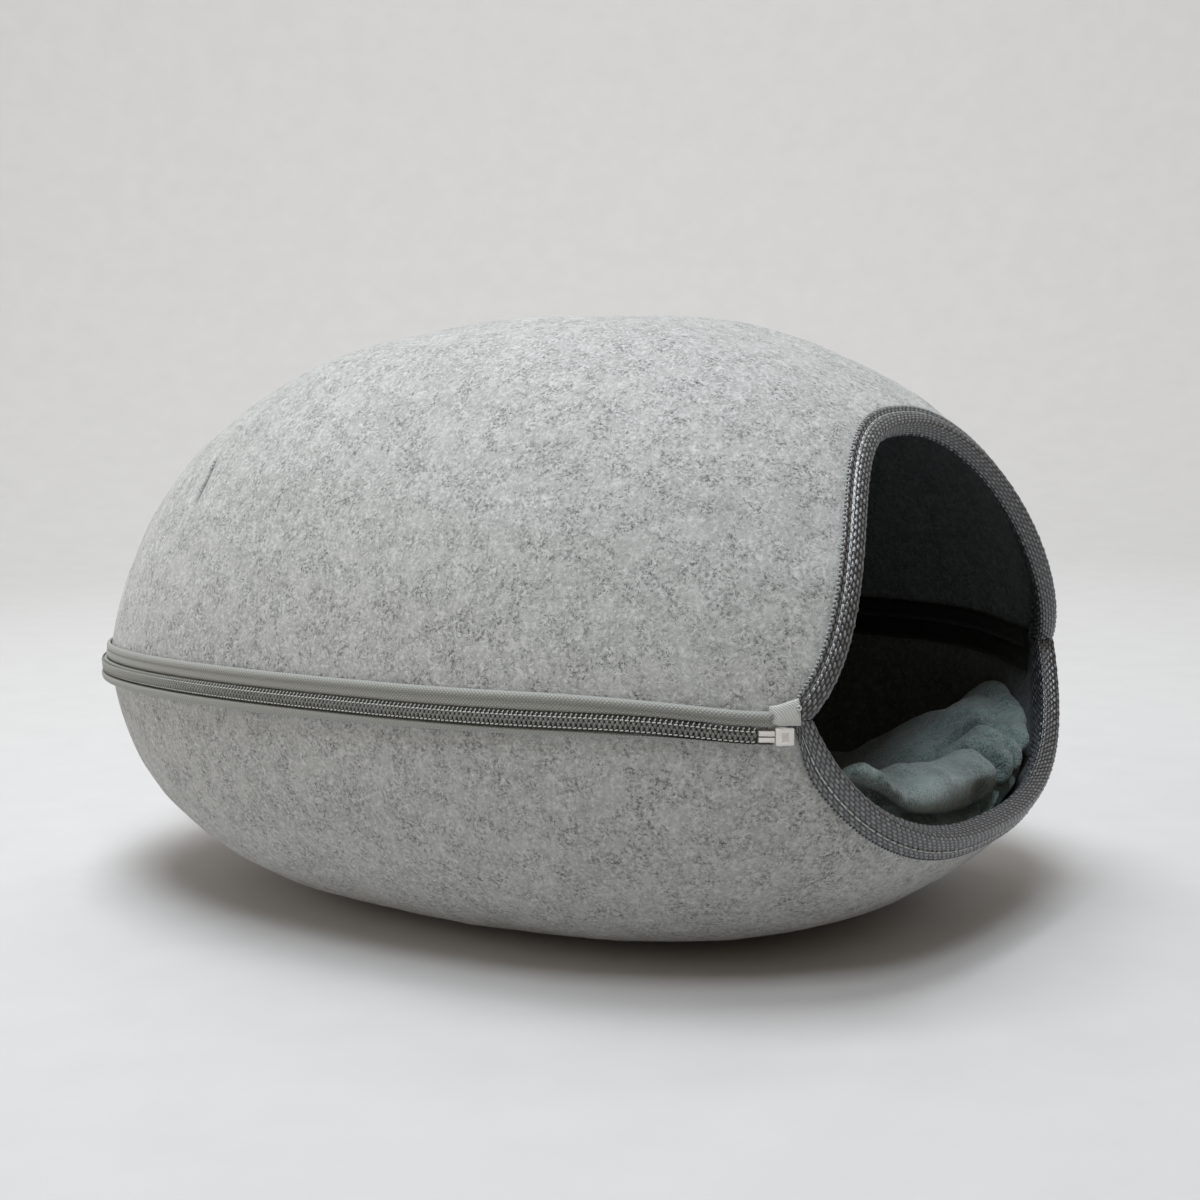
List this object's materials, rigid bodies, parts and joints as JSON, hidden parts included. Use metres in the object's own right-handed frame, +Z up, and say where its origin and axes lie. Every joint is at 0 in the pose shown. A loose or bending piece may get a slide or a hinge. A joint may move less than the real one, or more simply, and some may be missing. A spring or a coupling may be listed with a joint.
{
  "type": "felt pet hideout with cushion",
  "caption": "Egg-shaped felt pod that a rabbit shelters in, moulded as a dome and a bowl, zipped round the middle, with a webbing-bound mouth at the front and a soft cushion inside.",
  "frame": {"origin": "centre of the bounding box at the foot of the bowl, on the surface the hideout stands on", "axes": "+Z up, +Y towards the closed back, -Y out of the mouth, X across"},
  "size_m": [0.368, 0.495, 0.2868],
  "materials": {
    "felt": "light grey marled felt, needled, dark on its inner face",
    "webbing": "dark grey woven webbing with a slight sheen",
    "zip_tape": "mid grey woven tape",
    "zip_coil": "dark grey moulded coil",
    "seam_tape": "near-black woven tape",
    "zip_fittings": "pale moulded fittings",
    "fleece": "grey-blue brushed fleece"
  },
  "bodies": {
    "root": {"upper_shell": "felt", "lower_shell": "felt", "upper_binding": "webbing", "lower_binding": "webbing", "upper_zip_tape": "zip_tape", "lower_zip_tape": "zip_tape", "zip_chain": "zip_coil", "upper_seam_tape": "seam_tape", "lower_seam_tape": "seam_tape", "zip_box": "zip_fittings", "zip_pin_upper": "zip_fittings", "zip_pin_lower": "zip_fittings", "zip_slider": "zip_fittings", "zip_pull": "zip_fittings", "cushion": "fleece"}
  },
  "joints": []
}
